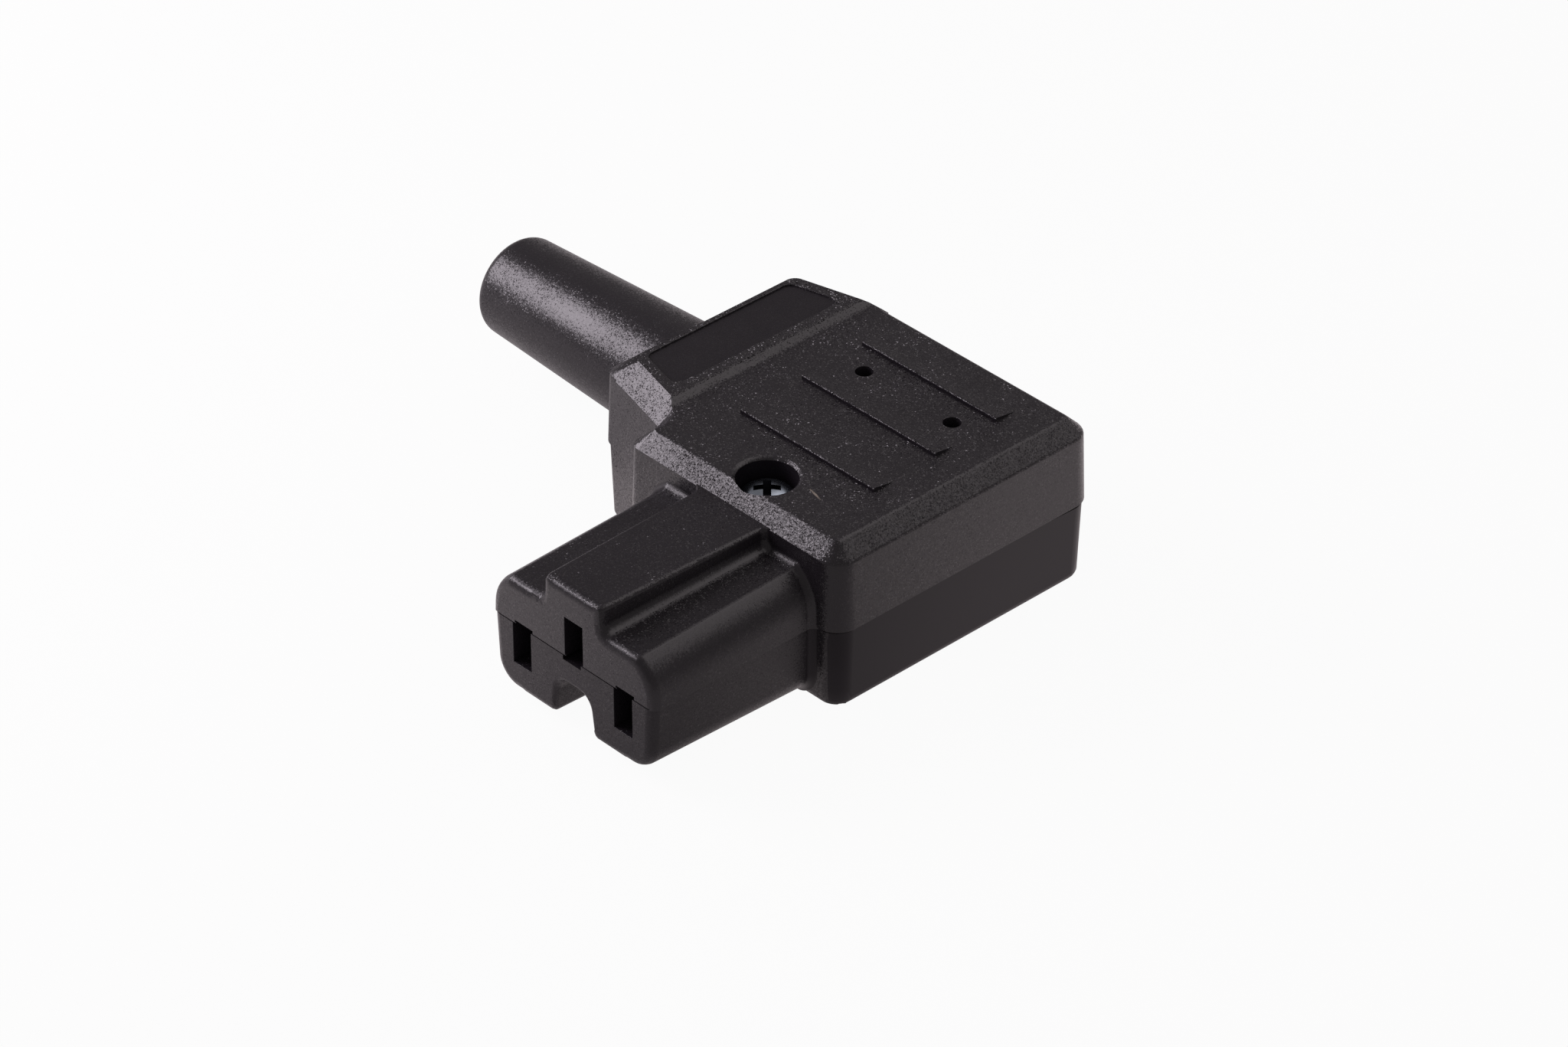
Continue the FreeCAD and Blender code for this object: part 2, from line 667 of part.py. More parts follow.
def strip(path, low, high):
    """Sheet strip standing on edge along a plan path."""
    half = SHEET / 2
    sides = [[], []]
    for index, here in enumerate(path):
        a = direction(path[index - 1], here) if index else direction(here, path[1])
        b = direction(here, path[index + 1]) if index + 1 < len(path) else a
        shift = half / (1.0 + a[0] * b[0] + a[1] * b[1])
        normal = (-(a[1] + b[1]) * shift, (a[0] + b[0]) * shift)
        sides[0].append((here[0] + normal[0], here[1] + normal[1]))
        sides[1].append((here[0] - normal[0], here[1] - normal[1]))
    return prism(sides[0] + sides[1][::-1], level(low), AXIS_Z * (high - low))


def jaw(x, z):
    """Folded jaw: two spring leaves that flare at the mouth, pinch the blade and join behind."""
    leaf = [
        (JAW_MOUTH_HALF, JAW_FRONT_Y),
        (JAW_PINCH_HALF, JAW_FRONT_Y + JAW_MOUTH),
        (JAW_HALF, JAW_FRONT_Y + JAW_MOUTH + JAW_FLARE),
        (JAW_HALF, JAW_BACK_Y),
    ]
    path = [(x - half, y) for half, y in leaf] + [(x + half, y) for half, y in reversed(leaf)]
    return strip(path, z - JAW_HEIGHT / 2, z + JAW_HEIGHT / 2)


def pole_contact(side):
    """Jaw of a live pole with a tail into its terminal block."""
    x = side * POLE_PITCH / 2
    tail_x = side * POLE_BLOCK_X
    end_y = BLOCK_FRONT_Y + TAIL_SLOT_DEPTH - TAIL_PLAY
    path = [(x, JAW_BACK_Y), (x, TAIL_BEND_Y[0]), (tail_x, TAIL_BEND_Y[1]), (tail_x, end_y)]
    tail = strip(path, TAIL_LOW_Z, TAIL_HIGH_Z)
    return jaw(x, 0.0).fuse(tail).removeSplitter()


def earth_contact():
    """Earth jaw with a tail that passes beside the screw boss and drops along its terminal block."""
    low = EARTH_RISE - JAW_HEIGHT / 2
    side_x = BLOCK_WIDTH / 2 + SHEET / 2
    pass_x = SCREW_X + BOSS_R + EARTH_TAIL_GAP
    first_y = EARTH_BLOCK_FRONT_Y + EARTH_TAIL_REACH[0]
    back_y = EARTH_BLOCK_FRONT_Y + EARTH_TAIL_REACH[1]
    high = CUP_Z - EARTH_TAIL_DROP
    path = [(0.0, JAW_BACK_Y), (pass_x, JAW_BACK_Y + EARTH_BEND_Y[0]), (pass_x, EARTH_BEND_Y[1])]
    path += [(side_x, EARTH_BEND_Y[2]), (side_x, back_y)]
    tail = strip(path, low, high)
    drop = strip([(side_x, first_y), (side_x, back_y)], TAIL_LOW_Z, high)
    return jaw(0.0, EARTH_RISE).fuse([tail, drop]).removeSplitter()


def terminal_screw_y(front_y):
    """Place of a terminal's screw behind the front of its block."""
    return front_y + BLOCK_DEPTH / 2 + TERMINAL_SCREW_BACK


def terminal(x, front_y, tail_slot):
    """Brass block with a wire hole from the back and a tapped hole from the top."""
    half = BLOCK_WIDTH / 2
    back_y = front_y + BLOCK_DEPTH
    body = block((x - half, x + half), (front_y, back_y), (BLOCK_BASE_Z, BLOCK_TOP_Z))
    cuts = [
        Part.makeCylinder(WIRE_HOLE_R, FAR, V(x, back_y - WIRE_HOLE_DEPTH, WIRE_HOLE_Z), AXIS_Y),
        post(x, terminal_screw_y(front_y), WIRE_HOLE_Z, FAR, TERMINAL_SCREW_R),
    ]
    if tail_slot:
        width = (x - TAIL_SLOT_HALF, x + TAIL_SLOT_HALF)
        cuts.append(block(width, (0.0, front_y + TAIL_SLOT_DEPTH), (TAIL_LOW_Z - TAIL_PLAY, FAR)))
    return body.cut(cuts).removeSplitter()


def terminal_places():
    """Plan places of the three terminal blocks."""
    return {
        "line": (-POLE_BLOCK_X, BLOCK_FRONT_Y),
        "neutral": (POLE_BLOCK_X, BLOCK_FRONT_Y),
        "earth": (0.0, EARTH_BLOCK_FRONT_Y),
    }


def terminal_screws():
    """The three terminal screws as separate solids."""
    screws = []
    for x, front_y in terminal_places().values():
        seat = BLOCK_TOP_Z + TERMINAL_SCREW_LIFT
        screws.append(cheese_screw(x, terminal_screw_y(front_y), seat, TERMINAL_SCREW_TIP_Z, TERMINAL_HEAD_R))
    return Part.makeCompound(screws)


def cord_clamp():
    """Bridge over the cord with an ear on each clamp post."""
    low = POST_TOP_Z
    high = low + CLAMP_SHEET
    crown = CABLE_Z + CORD_ROOM_R
    shoulder = CORD_ROOM_R + CLAMP_SHEET
    slope = CORD_ROOM_R * CLAMP_SLOPE
    right = [
        (CORD_ROOM_R - slope, crown),
        (CORD_ROOM_R, crown - slope),
        (CORD_ROOM_R, low),
        (CLAMP_HALF, low),
        (CLAMP_HALF, high),
        (shoulder, high),
        (shoulder, crown + CLAMP_SHEET - slope),
        (shoulder - slope, crown + CLAMP_SHEET),
    ]
    outer = right + [(-y, z) for y, z in reversed(right)]
    place = lambda y, z: V(CLAMP_X - CLAMP_WIDTH / 2, CABLE_Y + y, z)
    bridge = prism(outer, place, AXIS_X * CLAMP_WIDTH)
    holes = [post(CLAMP_X, CABLE_Y + side * CLAMP_SCREW_REACH, 0.0, FAR, CLAMP_HOLE_R) for side in (-1, 1)]
    return bridge.cut(holes)


def clamp_screws():
    """The two clamp screws as separate solids."""
    seat = POST_TOP_Z + CLAMP_SHEET
    screws = []
    for side in (-1, 1):
        y = CABLE_Y + side * CLAMP_SCREW_REACH
        screws.append(cheese_screw(CLAMP_X, y, seat, CLAMP_SCREW_TIP_Z, CLAMP_HEAD_R))
    return Part.makeCompound(screws)


def main():
    """Build every piece and write it as its own file."""
    pieces = {
        "upper_shell": upper_shell(),
        "lower_shell": lower_shell(),
        "cable_sleeve": cable_sleeve(),
        "housing_screw": pan_screw(),
        "line_contact": pole_contact(-1),
        "neutral_contact": pole_contact(1),
        "earth_contact": earth_contact(),
        "terminal_screws": terminal_screws(),
        "cord_clamp": cord_clamp(),
        "clamp_screws": clamp_screws(),
    }
    for pole, (x, front_y) in terminal_places().items():
        pieces[pole + "_terminal"] = terminal(x, front_y, pole != "earth")
    for name, shape in pieces.items():
        shape.exportStep("parts/" + name + ".step")
        print(name, shape.isValid(), len(shape.Solids), round(shape.Volume, 1))


main()
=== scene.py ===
import logging
import math
from dataclasses import dataclass
from enum import Enum
from typing import Any, Sequence

import bmesh
import bpy
from mathutils import Matrix, Vector
from mathutils.bvhtree import BVHTree
from mathutils.geometry import intersect_line_line_2d, intersect_point_line


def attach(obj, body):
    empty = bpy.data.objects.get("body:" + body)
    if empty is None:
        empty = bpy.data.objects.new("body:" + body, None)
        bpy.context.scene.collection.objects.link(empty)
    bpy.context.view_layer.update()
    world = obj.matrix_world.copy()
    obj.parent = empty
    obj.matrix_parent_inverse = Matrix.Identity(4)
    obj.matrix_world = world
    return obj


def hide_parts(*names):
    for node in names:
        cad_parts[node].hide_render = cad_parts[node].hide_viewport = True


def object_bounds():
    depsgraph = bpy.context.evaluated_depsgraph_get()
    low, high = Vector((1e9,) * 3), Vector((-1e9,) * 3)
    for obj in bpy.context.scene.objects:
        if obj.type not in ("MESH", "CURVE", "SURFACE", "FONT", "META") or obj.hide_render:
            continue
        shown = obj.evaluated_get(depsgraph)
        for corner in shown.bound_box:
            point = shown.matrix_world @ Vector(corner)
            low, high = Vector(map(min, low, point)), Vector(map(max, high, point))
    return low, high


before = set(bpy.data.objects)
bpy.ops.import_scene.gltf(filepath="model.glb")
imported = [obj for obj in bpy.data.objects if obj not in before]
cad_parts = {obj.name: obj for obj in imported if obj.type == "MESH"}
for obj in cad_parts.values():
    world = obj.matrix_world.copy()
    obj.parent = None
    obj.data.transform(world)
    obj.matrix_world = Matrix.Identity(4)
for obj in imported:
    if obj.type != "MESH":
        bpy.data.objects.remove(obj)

# Right-angle appliance connector on a white table, lit by one large soft light at the left.
# The nose points to -Y, the cable leaves to -X and +Z is up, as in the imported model.

CAD_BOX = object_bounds()
MM = 0.001
BODY = "root"
GRAIN = "grain_depth"
DULLNESS_AND_SHADE = "dullness_and_shade"
# Points closer than this count as one point.
MERGE_GAP = 0.0005 * MM
# Axis of the housing screw.
SCREW_PLACE = (0.1 * MM, 24.44 * MM)
log = logging.getLogger("connector")

Colour = tuple[float, float, float, float]
Pair = tuple[float, float]
Triple = tuple[float, float, float]
Tree = bpy.types.NodeTree
Socket = bpy.types.NodeSocket


def linear(code: str) -> Colour:
    """Turns an sRGB hex colour into linear red, green, blue and alpha.

    Args:
        code: The colour as six hex digits after a hash sign.

    Returns:
        The linear colour with an alpha of 1.
    """
    channels = []
    for start in (1, 3, 5):
        value = int(code[start:start + 2], 16) / 255
        channels.append(value / 12.92 if value <= 0.04045 else ((value + 0.055) / 1.055) ** 2.4)
    return (channels[0], channels[1], channels[2], 1.0)


def add(
    tree: Tree, kind: str, inputs: dict[Any, Any] | None = None, **settings: Any,
) -> bpy.types.Node:
    """Adds a node to a tree, sets it up and links it.

    Args:
        tree: The tree that gets the node.
        kind: Blender's name of the node type.
        inputs: Values or output sockets by the name or number of the input they go to.
        settings: Properties of the node itself.

    Returns:
        The new node.
    """
    node = tree.nodes.new(kind)
    for name, value in settings.items():
        setattr(node, name, value)
    for key, value in (inputs or {}).items():
        if isinstance(value, bpy.types.NodeSocket):
            tree.links.new(value, node.inputs[key])
        else:
            node.inputs[key].default_value = value
    return node


def compute(tree: Tree, operation: str, *values: Any) -> Socket:
    """Adds a math node for single numbers.

    Args:
        tree: The tree that gets the node.
        operation: Blender's name of the operation.
        values: Numbers or sockets that it works on, in order.

    Returns:
        The result.
    """
    return add(tree, "ShaderNodeMath", dict(enumerate(values)), operation=operation).outputs[0]


def compute_vector(tree: Tree, operation: str, *values: Any) -> Socket:
    """Adds a math node for vectors.

    Args:
        tree: The tree that gets the node.
        operation: Blender's name of the operation.
        values: Vectors or sockets that it works on, in order.

    Returns:
        The result, which is a number for a length or a dot product.
    """
    node = add(tree, "ShaderNodeVectorMath", dict(enumerate(values)), operation=operation)
    return node.outputs["Value" if operation in ("LENGTH", "DOT_PRODUCT") else "Vector"]


def remap(
    tree: Tree, value: Socket, result: tuple[Any, Any],
    span: Pair = (0.0, 1.0), curve: str = "LINEAR",
) -> Socket:
    """Adds a node that maps one span of values to another.

    Args:
        tree: The tree that gets the node.
        value: The value to map, which is clamped to the span.
        result: Numbers or sockets that the ends of the span are mapped to.
        span: The values at the ends.
        curve: Blender's name of the way from end to end.

    Returns:
        The mapped value.
    """
    node = add(tree, "ShaderNodeMapRange", {
        "Value": value,
        "From Min": span[0],
        "From Max": span[1],
        "To Min": result[0],
        "To Max": result[1],
    }, interpolation_type=curve)
    return node.outputs["Result"]


def mix_colours(tree: Tree, share: Socket, first: Any, second: Any) -> Socket:
    """Adds a node that mixes two colours.

    Args:
        tree: The tree that gets the node.
        share: How much of the second colour there is.
        first: Linear colour or socket at a share of 0.
        second: Linear colour or socket at a share of 1.

    Returns:
        The mixed colour.
    """
    mix = add(tree, "ShaderNodeMix", {0: share, 6: first, 7: second}, data_type="RGBA")
    return mix.outputs[2]


def per_metre(size_mm: float) -> float:
    """Scale of a pattern whose cells are this many millimetres wide."""
    return 1.0 / (size_mm * MM)


def noise(tree: Tree, place: Socket, size_mm: float, detail: float) -> Socket:
    """Adds a noise pattern.

    Args:
        tree: The tree that gets the node.
        place: Coordinates of the pattern in metres.
        size_mm: Width of its cells.
        detail: How many finer layers it has.

    Returns:
        The pattern, between 0 and 1.
    """
    inputs = {"Vector": place, "Scale": per_metre(size_mm), "Detail": detail}
    return add(tree, "ShaderNodeTexNoise", inputs).outputs["Fac"]


def new_material(name: str) -> tuple[bpy.types.Material, Tree]:
    """Makes a material with nodes.

    Args:
        name: Name of the real material.

    Returns:
        The material and its node tree.
    """
    material = bpy.data.materials.new(name)
    material.use_nodes = True
    return material, material.node_tree


def new_object(name: str, data: bpy.types.ID | None) -> bpy.types.Object:
    """Makes an object at the origin and links it to the scene.

    Args:
        name: Name of the object.
        data: Its mesh, curve, light or camera.

    Returns:
        The linked object.
    """
    obj = bpy.data.objects.new(name, data)
    bpy.context.scene.collection.objects.link(obj)
    return obj


def mesh_object(name: str, shape: bmesh.types.BMesh) -> bpy.types.Object:
    """Turns a bmesh into an object and frees it.

    Args:
        name: Name of the object and its mesh.
        shape: The bmesh to use up.

    Returns:
        The object with the new mesh.
    """
    mesh = bpy.data.meshes.new(name)
    shape.to_mesh(mesh)
    shape.free()
    return new_object(name, mesh)


def settle(obj: bpy.types.Object) -> bpy.types.Object:
    """Swaps an object for a plain mesh of what its modifiers make.

    Args:
        obj: An object with modifiers, which is removed.

    Returns:
        The object that takes its name and place.
    """
    name = obj.name
    view = bpy.context.evaluated_depsgraph_get()
    mesh = bpy.data.meshes.new_from_object(obj.evaluated_get(view))
    bpy.data.objects.remove(obj)
    mesh.name = name
    return new_object(name, mesh)


def smooth(mesh: bpy.types.Mesh, limit_deg: float) -> None:
    """Shades a mesh smooth up to an angle between faces, and sharp beyond it.

    Args:
        mesh: The mesh to shade.
        limit_deg: The largest angle that is shaded smooth.
    """
    shape = bmesh.new()
    shape.from_mesh(mesh)
    shape.normal_update()
    for face in shape.faces:
        face.smooth = True
    for edge in shape.edges:
        edge.smooth = edge.calc_face_angle(math.pi) < math.radians(limit_deg)
    shape.to_mesh(mesh)
    shape.free()


def enter(piece: bpy.types.Object, node: str) -> None:
    """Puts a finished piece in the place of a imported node.

    Args:
        piece: The finished piece.
        node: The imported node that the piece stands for.
    """
    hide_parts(node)
    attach(piece, BODY)
    log.info("%s: %d faces for node %s", piece.name, len(piece.data.polygons), node)


class Grain(Enum):
    """How deeply the mould was eroded behind a face, and how much its shine is lowered from 0 to 1,
    in places as painted shade.
    """

    RIM = (1.8, 0.0)
    DEEP = (1.0, 0.0)
    NECK = (0.5, 0.0)
    NECK_FOOT = (0.5, 0.2)
    SLOPE = (0.6, 0.0)
    NOSE = (0.6, 0.2)
    PANEL = (0.3, 0.35)
    WALL = (0.22, 0.0)
    FLANK = (0.22, 0.07)
    SATIN_SHADED = (0.0, 0.43)
    PAINTED_SHADE = (0.0, 1.0)


def mark_faces(mesh: bpy.types.Mesh, grains: Sequence[Grain]) -> None:
    """Writes the grain of every face where the plastic reads it.

    Args:
        mesh: The mesh to mark.
        grains: Grain of each face in order.
    """
    for place, name in enumerate((GRAIN, DULLNESS_AND_SHADE)):
        layer = mesh.attributes.new(name, "FLOAT", "FACE")
        layer.data.foreach_set("value", [grain.value[place] for grain in grains])


@dataclass(frozen=True)
class Scuff:
    """A short pale rub mark on the top face."""

    place: Triple
    length: float
    width: float
    turn_deg: float


@dataclass(frozen=True)
class MouldedPlastic:
    """Plastic from a spark-eroded mould, black polyamide unless another one is stated.

    The eye sees a dark satin skin with a slight violet cast, and pin-point glints on the many
    tiny facets where the grain is deep. Drawn side walls are smoother and reflect the table softly.
    """

    name: str = "black_moulded_polyamide"
    colour: str = "#171418"
    worn_colour: str = "#1f1c20"
    scuff_colour: str = "#857d72"
    ior: float = 1.5
    # A face whose shine is lowered all the way gets this IOR; on the steep grip fronts and the screw
    # hole walls it is painted shade.
    dull_and_shaded_ior: float = 1.1
    wall_roughness: float = 0.36
    grain_roughness: float = 0.29
    roughness_swing: float = 0.1
    # Real facets are near 0.05 mm and are drawn coarser, so that they show in the render.
    facet_mm: float = 0.11
    facet_tilt: float = 0.7
    pit_mm: float = 0.34
    pit_detail: float = 3.0
    pit_depth_mm: float = 0.02
    cloud_mm: float = 6.0
    cloud_detail: float = 4.0
    scuffs: Sequence[Scuff] = ()
    # Distance from the middle of a rub mark, in half sizes, where it is gone and where it is full.
    scuff_fade: Pair = (1.5, 0.9)

    def build(self) -> bpy.types.Material:
        """Makes the material.

        Returns:
            The node material, which reads the grain of each face and its lowered shine, partly
            painted shade.
        """
        material, tree = new_material(self.name)
        skin = tree.nodes["Principled BSDF"]
        place = add(tree, "ShaderNodeTexCoord").outputs["Object"]
        depth = add(tree, "ShaderNodeAttribute", attribute_name=GRAIN).outputs["Fac"]
        dullness_and_shade = add(tree, "ShaderNodeAttribute", attribute_name=DULLNESS_AND_SHADE).outputs["Fac"]
        cloud = noise(tree, place, self.cloud_mm, self.cloud_detail)
        pits = noise(tree, place, self.pit_mm, self.pit_detail)

        shade = mix_colours(tree, cloud, linear(self.colour), linear(self.worn_colour))
        for scuff in self.scuffs:
            shade = self.rub(tree, shade, place, pits, scuff)
        tree.links.new(shade, skin.inputs["Base Color"])

        shine = remap(tree, dullness_and_shade, (self.ior, self.dull_and_shaded_ior))
        tree.links.new(shine, skin.inputs["IOR"])

        bump = add(tree, "ShaderNodeBump", {
            "Strength": depth,
            "Distance": self.pit_depth_mm * MM,
            "Height": pits,
            "Normal": self.facets(tree, place, depth, cloud),
        })
        tree.links.new(bump.outputs["Normal"], skin.inputs["Normal"])

        lowest = self.roughness_swing / 2
        even = remap(tree, depth, (self.wall_roughness - lowest, self.grain_roughness - lowest))
        gloss = compute(tree, "MULTIPLY_ADD", cloud, self.roughness_swing, even)
        tree.links.new(gloss, skin.inputs["Roughness"])
        return material

    def facets(self, tree: Tree, place: Socket, depth: Socket, cloud: Socket) -> Socket:
        """Tips the tiny facets of the grain.

        Args:
            tree: The tree of the material.
            place: Object coordinates.
            depth: Depth of the grain.
            cloud: Noise that gathers the glints in patches, as the wear of the mould does.

        Returns:
            The normal of the facets.
        """
        cells = add(tree, "ShaderNodeTexVoronoi", {
            "Vector": place,
            "Scale": per_metre(self.facet_mm),
        }).outputs["Color"]
        # The colour of a cell runs from 0 to 1 and becomes a tilt from -1 to 1.
        tilt = compute_vector(tree, "MULTIPLY_ADD", cells, (2.0, 2.0, 2.0), (-1.0, -1.0, -1.0))
        # Its fifth power leaves most facets nearly flat and tips a few steeply, for sparse glints.
        square = compute_vector(tree, "MULTIPLY", tilt, tilt)
        fourth = compute_vector(tree, "MULTIPLY", square, square)
        fifth = compute_vector(tree, "MULTIPLY", fourth, tilt)
        # The noise is 0.5 on average, so twice the noise leaves the average tilt as it is.
        patchy = compute(tree, "MULTIPLY", cloud, 2.0 * self.facet_tilt)
        reach = compute(tree, "MULTIPLY", depth, patchy)
        lean = compute_vector(tree, "MULTIPLY", fifth, reach)
        facing = add(tree, "ShaderNodeNewGeometry").outputs["Normal"]
        return compute_vector(tree, "NORMALIZE", compute_vector(tree, "ADD", facing, lean))

    def rub(self, tree: Tree, shade: Socket, place: Socket, pits: Socket, scuff: Scuff) -> Socket:
        """Lays a rub mark over the colour of the plastic.

        Args:
            tree: The tree of the material.
            shade: Colour without the mark.
            place: Object coordinates.
            pits: Noise that breaks up the mark.
            scuff: The mark.

        Returns:
            Colour with the mark.
        """
        own = add(tree, "ShaderNodeMapping", {
            "Vector": place,
            "Location": scuff.place,
            "Rotation": (0.0, 0.0, math.radians(scuff.turn_deg)),
            "Scale": (scuff.length / 2, scuff.width / 2, scuff.length / 2),
        }, vector_type="TEXTURE").outputs[0]
        ragged = compute(tree, "ADD", pits, compute_vector(tree, "LENGTH", own))
        cover = remap(tree, ragged, (0.0, 1.0), self.scuff_fade)
        return mix_colours(tree, cover, shade, linear(self.scuff_colour))


@dataclass(frozen=True)
class PlatedMetal:
    """A metal part with a thin bright skin and fine marks from drawing or pressing.

    The eye sees a clear metal tint whose gloss breaks up into fine streaks and small dull patches.
    """

    name: str
    colour: str
    dull_colour: str
    roughness: float
    roughness_swing: float = 0.3
    patch_mm: float = 0.8
    patch_detail: float = 3.0
    # Drawing marks are near 0.02 mm and are drawn coarser, so that they show in the render.
    streak_mm: float = 0.12
    streak_detail: float = 2.0
    streak_stretch: float = 0.08
    streak_depth_mm: float = 0.004

    def build(self) -> bpy.types.Material:
        """Makes the material.

        Returns:
            The node material.
        """
        material, tree = new_material(self.name)
        skin = tree.nodes["Principled BSDF"]
        skin.inputs["Metallic"].default_value = 1.0
        place = add(tree, "ShaderNodeTexCoord").outputs["Object"]
        drawn = add(tree, "ShaderNodeMapping", {
            "Vector": place,
            "Scale": (1.0, 1.0, self.streak_stretch),
        }).outputs[0]
        patch = noise(tree, place, self.patch_mm, self.patch_detail)
        streak = noise(tree, drawn, self.streak_mm, self.streak_detail)
        tint = mix_colours(tree, patch, linear(self.colour), linear(self.dull_colour))
        tree.links.new(tint, skin.inputs["Base Color"])
        swing = self.roughness * self.roughness_swing
        gloss = remap(tree, patch, (self.roughness - swing, self.roughness + swing))
        tree.links.new(gloss, skin.inputs["Roughness"])
        bump = add(tree, "ShaderNodeBump", {
            "Distance": self.streak_depth_mm * MM,
            "Height": streak,
        })
        tree.links.new(bump.outputs["Normal"], skin.inputs["Normal"])
        return material


@dataclass
class Shell:
    """Half of the housing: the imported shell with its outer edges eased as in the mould."""

    node: str
    # Radii that edges are eased to: between two outer faces, at an opening, on the grip ramps
    # and round the panel.
    edge: float = 0.22 * MM
    rim: float = 0.05 * MM
    grip_edge: float = 0.24 * MM
    panel_edge: float = 0.12 * MM
    steps: int = 3
    # Faces this close to one plane are joined, and edges flatter than a crease stay as they are.
    flat_deg: float = 0.2
    crease_deg: float = 20.0
    smooth_deg: float = 40.0
    probe_lift: float = 0.01 * MM
    # Crowded corners: arcs of shorter edges than this become plain corners, and long edges are
    # cut near their ends, so that an end alone can stay sharp.
    fine_arc: float = 0.03 * MM
    long_edge: float = 2.4 * MM
    end_part: float = 0.8 * MM
    # Folds: distance off the shell, turn against it and least area, and how far around they count.
    stray: float = 0.08 * MM
    turned_cos: float = -0.2
    speck: float = 0.0001 * MM * MM
    fold_reach: float = 0.3 * MM
    # Places on the housing.
    split_z: float = 2.0 * MM
    split_reach: float = 0.5 * MM
    eave_z: float = 9.4 * MM
    grip_foot_z: float = 11.24 * MM
    grip_rise: float = 0.05 * MM
    grip_x: float = -11.0 * MM
    neck_x: float = -11.5 * MM
    nose_y: float = 19.0 * MM
    pad_x: float = -15.0 * MM
    panel_x: Pair = (-22.4 * MM, -16.4 * MM)
    panel_z: Pair = (11.5 * MM, 11.6 * MM)
    screw_hole_r: float = 3.1 * MM
    # Least share of a normal that points up on a level face and on a slope, and forward on a front.
    level_cos: float = 0.93
    floor_cos: float = 0.9
    slope_cos: float = 0.3
    front_cos: float = 0.9
    grip_front_cos: float = 0.95

    def build(self, plastic: bpy.types.Material, housing: BVHTree) -> bpy.types.Object:
        """Makes the shell and puts it in the place of its node.

        Args:
            plastic: Material of the housing.
            housing: Surface of both packed shells, which tells the outside from the inside.

        Returns:
            The finished shell.
        """
        shape = bmesh.new()
        shape.from_mesh(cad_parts[self.node].data)
        bmesh.ops.remove_doubles(shape, verts=shape.verts, dist=MERGE_GAP)
        bmesh.ops.dissolve_limit(
            shape,
            angle_limit=math.radians(self.flat_deg),
            verts=shape.verts,
            edges=shape.edges,
            delimit=set(),
        )
        surface = BVHTree.FromBMesh(shape)
        layer = self.weigh_edges(shape, housing)
        self.part_ends(shape, layer)
        piece = self.eased(shape)
        while self.leave_sharp(shape, layer, self.folds(piece.data, surface)):
            bpy.data.objects.remove(piece)
            piece = self.eased(shape)
        shape.free()
        mark_faces(piece.data, [self.grain(face) for face in piece.data.polygons])
        smooth(piece.data, self.smooth_deg)
        weigh = piece.modifiers.new("flat_faces", "WEIGHTED_NORMAL")
        weigh.keep_sharp = True
        piece = settle(piece)
        piece.data.materials.clear()
        piece.data.materials.append(plastic)
        enter(piece, self.node)
        return piece

    def eased(self, shape: bmesh.types.BMesh) -> bpy.types.Object:
        """Eases the marked edges of the shell.

        Args:
            shape: The merged shell with bevel weights, which is kept.

        Returns:
            An object with the eased mesh.
        """
        piece = mesh_object(self.node + "_moulding", shape.copy())
        ease = piece.modifiers.new("eased_edges", "BEVEL")
        ease.limit_method = "WEIGHT"
        ease.width = self.edge
        ease.segments = self.steps
        ease.use_clamp_overlap = False
        ease.miter_outer = "MITER_ARC"
        return settle(piece)

    def part_ends(self, shape: bmesh.types.BMesh, layer: bmesh.types.BMLayerItem) -> None:
        """Cuts the ends off long eased edges, so that an end alone can stay sharp.

        Args:
            shape: The merged shell.
            layer: Its bevel weights.
        """
        eased = [edge for edge in shape.edges if edge[layer]]
        for edge in [edge for edge in eased if edge.calc_length() > self.long_edge]:
            for vert in list(edge.verts):
                bmesh.utils.edge_split(edge, vert, self.end_part / edge.calc_length())

    def folds(self, mesh: bpy.types.Mesh, surface: BVHTree) -> list[Vector]:
        """Finds where the easing of a crowded corner folds over.

        Args:
            mesh: The mesh with eased edges.
            surface: The surface of the shell before.

        Returns:
            Points on faces that are turned over or cross themselves, and points off the shell.
        """
        points = []
        for vert in mesh.vertices:
            if surface.find_nearest(vert.co)[3] > self.stray:
                points.append(vert.co)
        for face in mesh.polygons:
            outline = [mesh.vertices[corner].co for corner in face.vertices]
            outward = surface.find_nearest(face.center)[1]
            if face.normal.dot(outward) < self.turned_cos and face.area > self.speck:
                points.append(face.center)
            points += self.crossings(outline, face.normal)
        return [point.copy() for point in points]

    @staticmethod
    def crossings(outline: Sequence[Vector], normal: Vector) -> list[Vector]:
        """Finds where the outline of a face crosses itself.

        Args:
            outline: Corners of the face in order.
            normal: Direction that the face looks in.

        Returns:
            The ends of the sides that cross.
        """
        across = normal.orthogonal().normalized()
        up = normal.cross(across)
        flat = [Vector((corner.dot(across), corner.dot(up))) / MM for corner in outline]
        sides = len(flat)
        points = []
        for first in range(sides - 2):
            for second in range(first + 2, sides - (first == 0)):
                after = (second + 1) % sides
                if intersect_line_line_2d(flat[first], flat[first + 1], flat[second], flat[after]):
                    points += [outline[first], outline[first + 1], outline[second], outline[after]]
        return points

    def leave_sharp(
        self, shape: bmesh.types.BMesh, layer: bmesh.types.BMLayerItem, folds: Sequence[Vector],
    ) -> int:
        """Takes the easing off the edges round each fold.

        Args:
            shape: The merged shell, whose bevel weights change.
            layer: Its bevel weights.
            folds: Points where the easing folds over.

        Returns:
            How many edges lost their easing.
        """
        crowded = []
        for edge in [edge for edge in shape.edges if edge[layer]]:
            start, end = (vert.co for vert in edge.verts)
            for fold in folds:
                share = intersect_point_line(fold, start, end)[1]
                near = start.lerp(end, min(max(share, 0.0), 1.0))
                if (near - fold).length < self.fold_reach:
                    crowded.append(edge)
                    break
        for edge in crowded:
            edge[layer] = 0.0
        log.info("%s: %d crowded edges stay sharp", self.node, len(crowded))
        return len(crowded)

